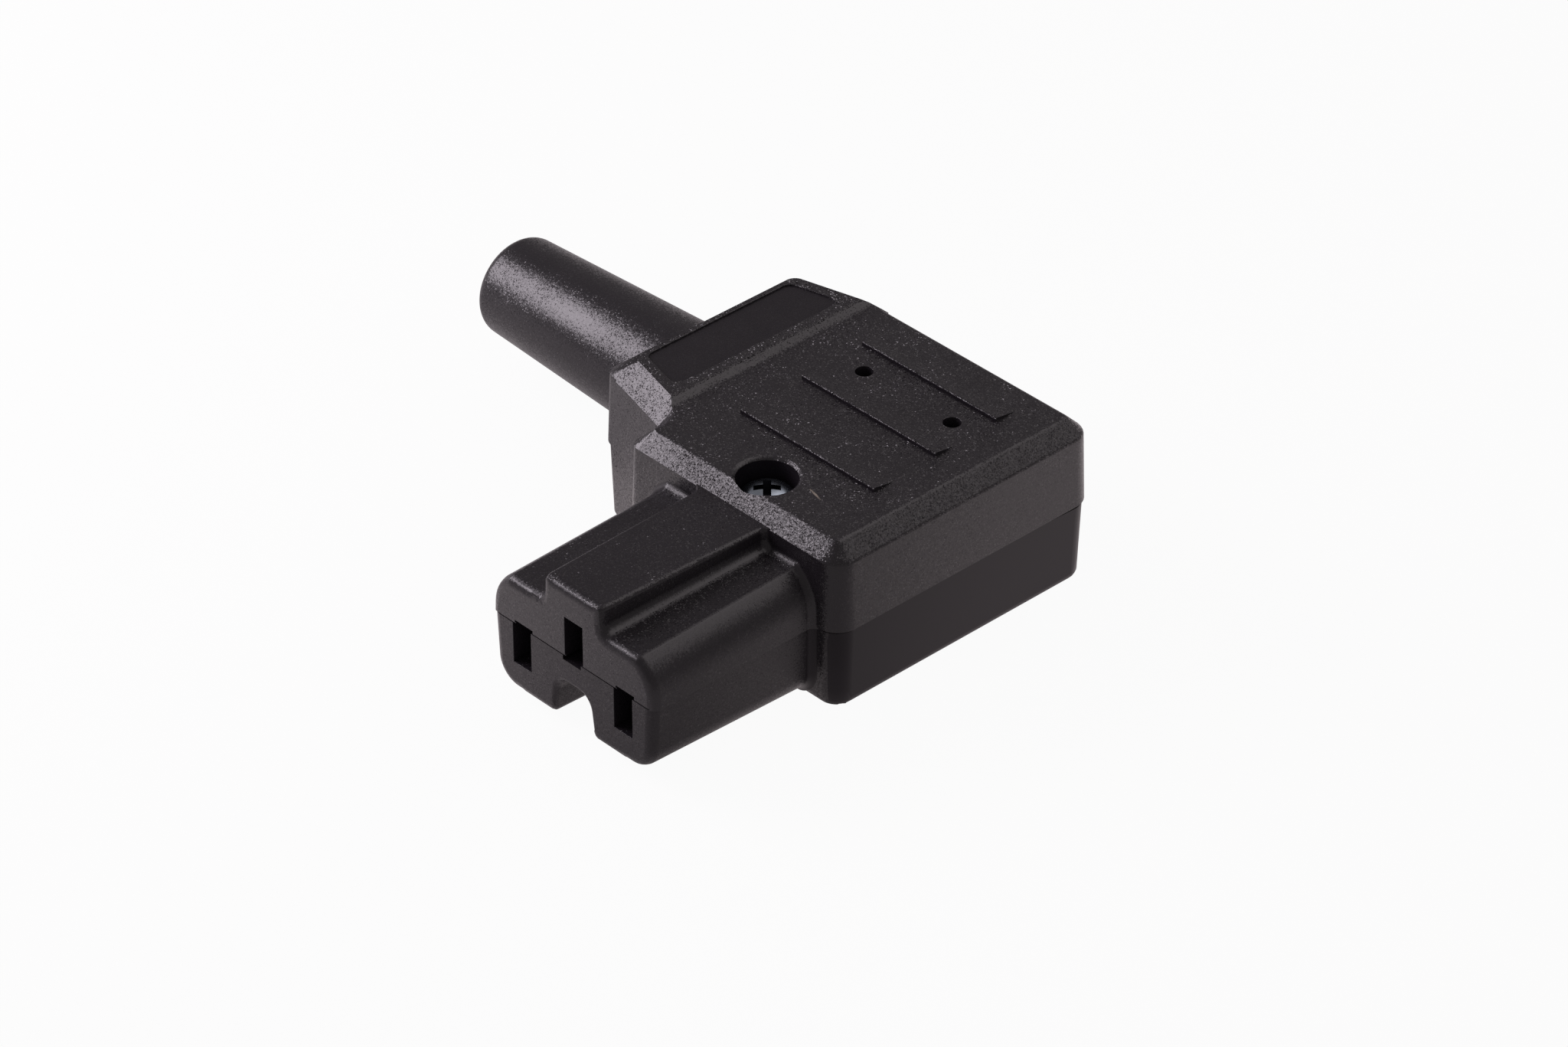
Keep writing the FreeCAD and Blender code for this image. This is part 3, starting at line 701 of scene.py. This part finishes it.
    def weigh_edges(self, shape: bmesh.types.BMesh, housing: BVHTree) -> bmesh.types.BMLayerItem:
        """Marks how far each outer edge of the shell is eased.

        Args:
            shape: The merged shell, which gets bevel weights on its edges.
            housing: Surface of both packed shells.

        Returns:
            The layer of bevel weights.
        """
        shape.normal_update()
        shape.faces.index_update()
        outside = {}
        for face in shape.faces:
            start = face.calc_center_median() + face.normal * self.probe_lift
            outside[face.index] = housing.ray_cast(start, face.normal)[0] is None
        layer = shape.edges.layers.float.new("bevel_weight_edge")
        for edge in shape.edges:
            if edge.calc_face_angle() > math.radians(self.crease_deg):
                shown = sum(outside[face.index] for face in edge.link_faces)
                edge[layer] = self.easing(edge, shown) / self.edge
        # The easing would fold over on the finest corner arcs, so these become plain corners first.
        eased = [edge for edge in shape.edges if edge[layer]]
        fine = [edge for edge in eased if edge.calc_length() < self.fine_arc]
        bmesh.ops.collapse(shape, edges=fine)
        return layer

    def easing(self, edge: bmesh.types.BMEdge, shown: int) -> float:
        """Radius that an edge is eased to, by where it lies.

        Args:
            edge: An edge of the merged shell.
            shown: How many of its two faces lie on the outside.

        Returns:
            The radius, which is 0 for an edge that stays sharp.
        """
        heights = [vert.co.z for vert in edge.verts]
        x = sum(vert.co.x for vert in edge.verts) / 2
        by_split = max(abs(z - self.split_z) for z in heights) < self.split_reach
        if not shown or by_split or not edge.is_convex:
            return 0.0
        on_grip_z = self.grip_foot_z + self.grip_rise
        if max(heights) > on_grip_z and x > self.grip_x:
            return self.grip_edge if min(heights) > on_grip_z else 0.0
        if self.panel_x[0] < x < self.panel_x[1] and min(heights) > self.panel_z[1]:
            return self.panel_edge
        return self.edge if shown == 2 else self.rim

    def grain(self, face: bpy.types.MeshPolygon) -> Grain:
        """Grain of a face, by where it lies and which way it faces.

        Args:
            face: A face of the shell.

        Returns:
            The grain of that face.
        """
        x, y, z = face.center
        upward = face.normal.z
        forward = -face.normal.y
        on_nose = y < self.nose_y
        on_neck = x < self.neck_x
        on_lower_half = z < self.split_z
        on_grip = z > self.grip_foot_z and x > self.grip_x
        in_panel = self.panel_x[0] < x < self.panel_x[1] and self.panel_z[0] < z < self.panel_z[1]
        in_hole = math.dist((x, y), SCREW_PLACE) < self.screw_hole_r
        if in_panel and upward > self.floor_cos:
            return Grain.PANEL
        # The screw hole walls and the steep grip fronts shine least: painted shade in the hole and
        # on the ramp steps.
        on_hole_wall = in_hole and abs(upward) < self.slope_cos
        if on_hole_wall or (on_grip and forward > self.grip_front_cos):
            return Grain.PAINTED_SHADE
        if upward > self.level_cos:
            if on_nose:
                return Grain.NOSE
            return Grain.RIM if x < self.pad_x else Grain.DEEP
        if upward > self.slope_cos and z > self.eave_z:
            return Grain.RIM if on_grip else Grain.SLOPE
        if on_neck:
            # The lower neck wall shines a little less: painted shade near the table.
            return Grain.NECK_FOOT if on_lower_half else Grain.NECK
        if on_nose:
            return Grain.WALL
        if forward > self.front_cos:
            return Grain.NECK
        # Lower side walls shine less than the upper ones: painted shade of walls that mirror the
        # shaded table near the foot.
        return Grain.SATIN_SHADED if on_lower_half else Grain.FLANK


def housing_surface(nodes: Sequence[str]) -> BVHTree:
    """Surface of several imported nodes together.

    Args:
        nodes: Names of the nodes.

    Returns:
        The tree to cast rays at.
    """
    points: list[Vector] = []
    faces: list[list[int]] = []
    for node in nodes:
        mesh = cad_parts[node].data
        faces += [[corner + len(points) for corner in face.vertices] for face in mesh.polygons]
        points += [vert.co.copy() for vert in mesh.vertices]
    return BVHTree.FromPolygons(points, faces)


@dataclass
class CableSleeve:
    """Tapered bend-protection sleeve, turned round the cable axis by a node tree."""

    node: str = "cable_sleeve"
    cable_y: float = 38.9 * MM
    cable_z: float = 1.75 * MM
    bore_r: float = 3.6 * MM
    tip_x: float = -52.8 * MM
    tip_r: float = 5.33 * MM
    tip_round: float = 1.4 * MM
    root_x: float = -25.35 * MM
    root_r: float = 6.45 * MM
    waist_r: float = 6.0 * MM
    flange_x: float = -22.55 * MM
    flange_end_x: float = -20.55 * MM
    flange_r: float = 7.0 * MM
    bore_round: float = 0.25 * MM
    edge: float = 0.12 * MM
    turn_steps: int = 128
    arc_steps: int = 10
    smooth_deg: float = 40.0

    def build(self, plastic: bpy.types.Material) -> bpy.types.Object:
        """Makes the sleeve and puts it in the place of its node.

        Args:
            plastic: Material of the sleeve.

        Returns:
            The finished sleeve.
        """
        curve = bpy.data.curves.new("sleeve_section", "CURVE")
        curve.dimensions = "3D"
        points = self.section()
        line = curve.splines.new("POLY")
        line.points.add(len(points) - 1)
        mean_r = (self.bore_r + self.root_r) / 2
        for point, (x, r) in zip(line.points, points):
            point.co = (r - mean_r, -x, 0.0, 1.0)
        line.use_cyclic_u = True
        piece = new_object("cable_sleeve_moulding", curve)
        tree, sockets = self.turning_tree()
        turning = piece.modifiers.new("turning", "NODES")
        turning.node_group = tree
        turning[sockets["Mean Radius"]] = mean_r
        turning[sockets["Turn Steps"]] = self.turn_steps
        turning[sockets["Axis Place"]] = (0.0, self.cable_y, self.cable_z)
        turning[sockets["Plastic"]] = plastic
        piece = settle(piece)
        shape = bmesh.new()
        shape.from_mesh(piece.data)
        bmesh.ops.remove_doubles(shape, verts=shape.verts, dist=MERGE_GAP)
        bmesh.ops.recalc_face_normals(shape, faces=shape.faces)
        shape.to_mesh(piece.data)
        shape.free()
        mark_faces(piece.data, [Grain.DEEP] * len(piece.data.polygons))
        smooth(piece.data, self.smooth_deg)
        enter(piece, self.node)
        return piece

    def section(self) -> list[Pair]:
        """Closed section of the sleeve wall.

        Returns:
            Places along the cable with their distance from its axis, round the section.
        """
        bore, tip, root = self.bore_round, self.tip_round, self.edge
        points = self.arc(self.tip_x + bore, self.bore_r + bore, bore, 270.0, 180.0)
        points += self.arc(self.tip_x + tip, self.tip_r - tip, tip, 180.0, 90.0)
        points += self.arc(self.root_x - root, self.root_r - root, root, 90.0, 0.0)
        points += [(self.root_x, self.waist_r), (self.flange_x, self.waist_r)]
        points += [(self.flange_x, self.flange_r), (self.flange_end_x, self.flange_r)]
        points += [(self.flange_end_x, self.bore_r)]
        return points

    def arc(
        self, x: float, r: float, radius: float, start_deg: float, end_deg: float,
    ) -> list[Pair]:
        """Points on an arc of the section.

        Args:
            x: Triple of the arc's centre along the cable.
            r: Distance of the arc's centre from the cable axis.
            radius: Radius of the arc.
            start_deg: Angle of the first point, from the +X direction towards larger distance.
            end_deg: Angle of the last point.

        Returns:
            The points from the first to the last.
        """
        points = []
        for step in range(self.arc_steps + 1):
            angle = math.radians(start_deg + (end_deg - start_deg) * step / self.arc_steps)
            points.append((x + radius * math.cos(angle), r + radius * math.sin(angle)))
        return points

    @staticmethod
    def turning_tree() -> tuple[Tree, dict[str, str]]:
        """Node tree that turns a section curve round the cable axis.

        Returns:
            The tree, and the identifiers of its input sockets by name.
        """
        tree = bpy.data.node_groups.new("turned_section", "GeometryNodeTree")
        interface = tree.interface
        interface.new_socket("Section", in_out="INPUT", socket_type="NodeSocketGeometry")
        kinds = {
            "Mean Radius": "NodeSocketFloat",
            "Turn Steps": "NodeSocketInt",
            "Axis Place": "NodeSocketVector",
            "Plastic": "NodeSocketMaterial",
        }
        sockets = {}
        for name, kind in kinds.items():
            sockets[name] = interface.new_socket(name, in_out="INPUT", socket_type=kind).identifier
        interface.new_socket("Mesh", in_out="OUTPUT", socket_type="NodeSocketGeometry")
        given = add(tree, "NodeGroupInput").outputs
        path = add(tree, "GeometryNodeCurvePrimitiveCircle", {
            "Resolution": given["Turn Steps"],
            "Radius": given["Mean Radius"],
        })
        swept = add(tree, "GeometryNodeCurveToMesh", {
            "Curve": path.outputs["Curve"],
            "Profile Curve": given["Section"],
        })
        placed = add(tree, "GeometryNodeTransform", {
            "Geometry": swept.outputs["Mesh"],
            "Translation": given["Axis Place"],
            "Rotation": (0.0, math.pi / 2, 0.0),
        })
        real = add(tree, "GeometryNodeRealizeInstances", {"Geometry": placed.outputs["Geometry"]})
        dressed = add(tree, "GeometryNodeSetMaterial", {
            "Geometry": real.outputs["Geometry"],
            "Material": given["Plastic"],
        })
        add(tree, "NodeGroupOutput", {0: dressed.outputs["Geometry"]})
        return tree, sockets


@dataclass
class HousingScrew:
    """Pan-head screw with a cross recess that holds the halves of the housing together."""

    node: str = "housing_screw"
    seat_z: float = 7.8 * MM
    tip_z: float = -3.2 * MM
    shank_r: float = 1.45 * MM
    head_r: float = 2.8 * MM
    head_height: float = 2.2 * MM
    rim_height: float = 0.75 * MM
    recess_reach: float = 1.5 * MM
    recess_depth: float = 1.3 * MM
    recess_thin: float = 0.39 * MM
    # Reach of the recess at its floor as a share of that on top, and how far its cutter stands out.
    recess_taper: float = 0.45
    recess_rise: float = 0.2 * MM
    recess_turn_deg: float = 47.0
    seat_edge: float = 0.2 * MM
    turn_steps: int = 72
    dome_steps: int = 14
    smooth_deg: float = 30.0

    def build(self, metal: bpy.types.Material, recess_shade: bpy.types.Material) -> bpy.types.Object:
        """Makes the screw and puts it in the place of its node.

        Args:
            metal: Material of the screw.
            recess_shade: Material of the faces inside its recess.

        Returns:
            The finished screw.
        """
        shape = bmesh.new()
        verts = [shape.verts.new((r, 0.0, z)) for r, z in self.outline()]
        edges = [shape.edges.new(pair) for pair in zip(verts, verts[1:])]
        bmesh.ops.spin(
            shape,
            geom=verts + edges,
            axis=(0, 0, 1),
            cent=(0, 0, 0),
            angle=2 * math.pi,
            steps=self.turn_steps,
        )
        bmesh.ops.remove_doubles(shape, verts=shape.verts, dist=MERGE_GAP)
        bmesh.ops.recalc_face_normals(shape, faces=shape.faces)
        bmesh.ops.translate(shape, verts=shape.verts, vec=(*SCREW_PLACE, 0.0))
        piece = mesh_object("housing_screw_turned", shape)
        piece.data.materials.append(metal)
        cutters = [self.recess_arm(turned) for turned in (False, True)]
        for cutter in cutters:
            # The recess faces get a near-black zinc: painted shade in the cross recess.
            cutter.data.materials.append(recess_shade)
            cut = piece.modifiers.new("recess", "BOOLEAN")
            cut.material_mode = "TRANSFER"
            cut.operation = "DIFFERENCE"
            cut.object = cutter
        piece = settle(piece)
        for cutter in cutters:
            bpy.data.objects.remove(cutter)
        smooth(piece.data, self.smooth_deg)
        enter(piece, self.node)
        return piece

    def outline(self) -> list[Pair]:
        """Half section of the screw from the top of its dome to its tip.

        Returns:
            Distances from the axis with their heights.
        """
        rim_z = self.seat_z + self.rim_height
        top_z = self.seat_z + self.head_height
        points = []
        for step in range(self.dome_steps + 1):
            angle = math.pi / 2 * step / self.dome_steps
            z = rim_z + (top_z - rim_z) * math.cos(angle)
            points.append((self.head_r * math.sin(angle), z))
        edge = self.seat_edge
        points += [(self.head_r, self.seat_z + edge), (self.head_r - edge, self.seat_z)]
        points += [(self.shank_r, self.seat_z), (self.shank_r, self.tip_z), (0.0, self.tip_z)]
        return points

    def recess_arm(self, turned: bool) -> bpy.types.Object:
        """Tapered blade that cuts one arm of the cross recess.

        Args:
            turned: Whether this is the second arm, square to the first.

        Returns:
            The cutter, which the caller removes.
        """
        top_z = self.seat_z + self.head_height
        levels = (
            (top_z + self.recess_rise, self.recess_reach),
            (top_z - self.recess_depth, self.recess_reach * self.recess_taper),
        )
        shape = bmesh.new()
        rings = []
        for z, reach in levels:
            wide, deep = (self.recess_thin, reach) if turned else (reach, self.recess_thin)
            plan = ((-wide, -deep), (wide, -deep), (wide, deep), (-wide, deep))
            rings.append([shape.verts.new((x, y, z)) for x, y in plan])
        shape.faces.new(rings[0])
        shape.faces.new(rings[1][::-1])
        for side in range(4):
            after = (side + 1) % 4
            shape.faces.new((rings[1][side], rings[1][after], rings[0][after], rings[0][side]))
        bmesh.ops.recalc_face_normals(shape, faces=shape.faces)
        turn = Matrix.Rotation(math.radians(self.recess_turn_deg), 4, "Z")
        shape.transform(Matrix.Translation((*SCREW_PLACE, 0.0)) @ turn)
        return mesh_object("recess_blade", shape)


@dataclass
class InnerParts:
    """Contacts, terminals, clamp and screws inside the housing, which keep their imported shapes."""

    brass_nodes: Sequence[str] = (
        "line_contact", "neutral_contact", "earth_contact",
        "line_terminal", "neutral_terminal", "earth_terminal",
    )
    steel_nodes: Sequence[str] = ("terminal_screws", "clamp_screws")
    clamp_node: str = "cord_clamp"

    def dress(
        self, brass: bpy.types.Material, steel: bpy.types.Material, plastic: bpy.types.Material,
    ) -> None:
        """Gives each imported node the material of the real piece.

        Args:
            brass: Material of contacts and terminals.
            steel: Material of the screws.
            plastic: Material of the clamp.
        """
        finishes = {node: brass for node in self.brass_nodes}
        finishes.update({node: steel for node in self.steel_nodes})
        finishes[self.clamp_node] = plastic
        for node, finish in finishes.items():
            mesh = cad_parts[node].data
            mesh.materials.clear()
            mesh.materials.append(finish)
            log.info("%s: packed shape in %s", node, finish.name)


@dataclass
class Studio:
    """White table, soft light at the left, dim room with a pale screen behind, and the camera."""

    azimuth_deg: float = 46.778
    elevation_deg: float = 34.771
    roll_deg: float = 0.110
    camera_place: Triple = (337.378 * MM, -290.355 * MM, 326.107 * MM)
    lens_mm: float = 137.57
    sensor_mm: float = 36.0
    clip_start: float = 10.0 * MM
    table_half: float = 4.0
    # Keeps the table from sharing a plane with the underside.
    table_gap: float = 0.02 * MM
    table_white: float = 0.6
    table_seen_colour: str = "#ffffff"
    # Share of the glow in the table, as it lights the connector and as the camera sees it.
    table_glow: Pair = (0.3, 0.95)
    # Light that the table throws from far to near, and where that changes on the way to the viewer:
    # a painted fall of light towards the viewer.
    table_thrown: Pair = (2.7, 0.56)
    table_near: Pair = (-22.0 * MM, 16.0 * MM)
    table_thrown_colour: str = "#fff2f4"
    # Where the light that the table throws falls to this share at the left: a painted shadow of the
    # sleeve.
    sleeve_shadow_span: Pair = (-38.0 * MM, -27.0 * MM)
    sleeve_shadow_share: float = 0.35
    room_light: float = 0.42
    room_gloss: float = 0.245
    room_colour: str = "#fff6f8"
    # Direction of the screen, where its edge fades in and where it is full, and its light.
    screen_way: Triple = (0.2, 0.55, 0.81)
    screen_spread: Pair = (0.75, 0.99)
    screen_light: float = 1.4
    soft_box_place: Triple = (-212.0 * MM, -80.0 * MM, 134.0 * MM)
    soft_box_size: float = 150.0 * MM
    soft_box_watts: float = 0.56
    soft_box_colour: str = "#fff5ff"

    def build(self) -> None:
        """Sets up table, light, room and camera."""
        self.table()
        self.room()
        self.soft_box()
        self.camera()
        bpy.context.scene.view_settings.view_transform = "Standard"
        log.info("studio: table, room, soft light and camera")

    def table(self) -> None:
        """Makes the table top under the connector."""
        shape = bmesh.new()
        bmesh.ops.create_grid(shape, x_segments=1, y_segments=1, size=self.table_half)
        top_z = CAD_BOX[0].z - self.table_gap
        bmesh.ops.translate(shape, verts=shape.verts, vec=(0.0, 0.0, top_z))
        table = mesh_object("table", shape)
        table.data.materials.append(self.card())

    def card(self) -> bpy.types.Material:
        """Makes the matt white card over a light table: pale all over, with only a faint shadow.

        Returns:
            The material, which looks white to the camera whatever light it throws.
        """
        material, tree = new_material("matt_white_card")
        tree.nodes.clear()
        white = self.table_white
        matt = add(tree, "ShaderNodeBsdfDiffuse", {"Color": (white, white, white, 1.0)}).outputs[0]
        seen = add(tree, "ShaderNodeLightPath").outputs["Is Camera Ray"]
        colours = (linear(self.table_thrown_colour), linear(self.table_seen_colour))
        glow = add(tree, "ShaderNodeEmission", {
            "Color": mix_colours(tree, seen, *colours),
            "Strength": remap(tree, seen, (self.thrown(tree), 1.0)),
        }).outputs[0]
        share = remap(tree, seen, self.table_glow)
        blend = add(tree, "ShaderNodeMixShader", {0: share, 1: matt, 2: glow}).outputs[0]
        add(tree, "ShaderNodeOutputMaterial", {"Surface": blend})
        return material

    def thrown(self, tree: Tree) -> Socket:
        """Light that the table throws, painted weaker on the side of the viewer and with a painted
        shadow under the sleeve.

        Args:
            tree: The tree of the table's material.

        Returns:
            Strength of that light.
        """
        place = add(tree, "ShaderNodeTexCoord").outputs["Object"]
        azimuth = math.radians(self.azimuth_deg)
        near = (math.sin(azimuth), -math.cos(azimuth), 0.0)
        toward = compute_vector(tree, "DOT_PRODUCT", place, near)
        fade = remap(tree, toward, self.table_thrown, self.table_near, "SMOOTHSTEP")
        across = add(tree, "ShaderNodeSeparateXYZ", {0: place}).outputs["X"]
        # Painted shadow of the sleeve in the glow of the table.
        under = remap(tree, across, (self.sleeve_shadow_share, 1.0), self.sleeve_shadow_span, "SMOOTHSTEP")
        return compute(tree, "MULTIPLY", fade, under)

    def room(self) -> None:
        """Fills the room with even light, which gloss sees as dim walls with a pale screen."""
        world = bpy.data.worlds.new("white_room")
        world.use_nodes = True
        bpy.context.scene.world = world
        tree = world.node_tree
        glossy = add(tree, "ShaderNodeLightPath").outputs["Is Glossy Ray"]
        way = add(tree, "ShaderNodeTexCoord").outputs["Generated"]
        screen = tuple(Vector(self.screen_way).normalized())
        toward = compute_vector(tree, "DOT_PRODUCT", way, screen)
        levels = (self.room_gloss, self.screen_light)
        walls = remap(tree, toward, levels, self.screen_spread, "SMOOTHSTEP")
        background = tree.nodes["Background"]
        background.inputs["Color"].default_value = linear(self.room_colour)
        strength = remap(tree, glossy, (self.room_light, walls))
        tree.links.new(strength, background.inputs["Strength"])

    def soft_box(self) -> None:
        """Hangs the large soft light at the left, turned towards the connector."""
        light = bpy.data.lights.new("soft_box", "AREA")
        light.shape = "SQUARE"
        light.size = self.soft_box_size
        light.energy = self.soft_box_watts
        light.color = linear(self.soft_box_colour)[:3]
        lamp = new_object("soft_box", light)
        lamp.visible_camera = False
        place = Vector(self.soft_box_place)
        way = place - (CAD_BOX[0] + CAD_BOX[1]) / 2
        turn = way.to_track_quat("Z", "Y").to_matrix().to_4x4()
        lamp.matrix_world = Matrix.Translation(place) @ turn

    def camera(self) -> None:
        """Places the camera at the viewing angle of the photograph."""
        azimuth = math.radians(self.azimuth_deg)
        elevation = math.radians(self.elevation_deg)
        roll = math.radians(self.roll_deg)
        level = math.cos(elevation)
        back = Vector((math.sin(azimuth) * level, -math.cos(azimuth) * level, math.sin(elevation)))
        flat = Vector((math.cos(azimuth), math.sin(azimuth), 0.0))
        rise = back.cross(flat)
        right = flat * math.cos(roll) + rise * math.sin(roll)
        up = back.cross(right)
        lens = bpy.data.cameras.new("camera")
        lens.lens = self.lens_mm
        lens.sensor_width = self.sensor_mm
        lens.clip_start = self.clip_start
        camera = new_object("camera", lens)
        turn = Matrix((right, up, back)).transposed().to_4x4()
        camera.matrix_world = Matrix.Translation(self.camera_place) @ turn
        bpy.context.scene.camera = camera


def main() -> None:
    """Builds every piece in order and reports it."""
    logging.basicConfig(level=logging.INFO, format="%(name)s: %(message)s")
    mark = Scuff(
        place=(5.35 * MM, 25.6 * MM, 11.24 * MM), length=2.2 * MM, width=0.3 * MM, turn_deg=-13.8
    )
    upper = MouldedPlastic(scuffs=(mark,)).build()
    # The lower half gets a copy of the plastic with a lower IOR, painted shade that darkens its
    # walls against the upper half.
    lower = MouldedPlastic(name="black_moulded_polyamide_shaded_lower_half", ior=1.4).build()
    sleeve = MouldedPlastic(
        name="black_flexible_polyvinyl", facet_tilt=0.25, grain_roughness=0.3
    ).build()
    clamp = MouldedPlastic(
        name="grey_moulded_polyamide", colour="#54545a", worn_colour="#5e5e64"
    ).build()
    zinc = PlatedMetal(
        name="bright_zinc_plated_steel", colour="#aeb7c0", dull_colour="#87929c", roughness=0.26
    ).build()
    # Near-black zinc for the faces inside the cross recess: painted shade in the recess.
    recess_shade = PlatedMetal(
        name="shaded_recess_zinc", colour="#2b2e33", dull_colour="#15171b", roughness=0.5
    ).build()
    brass = PlatedMetal(
        name="drawn_brass", colour="#d9b56b", dull_colour="#b8914c", roughness=0.3
    ).build()
    shells = {"upper_shell": upper, "lower_shell": lower}
    outside = housing_surface(list(shells))
    for node, plastic in shells.items():
        Shell(node).build(plastic, outside)
    CableSleeve().build(sleeve)
    HousingScrew().build(zinc, recess_shade)
    InnerParts().dress(brass, zinc, clamp)
    Studio().build()


if __name__ == "__main__":
    main()
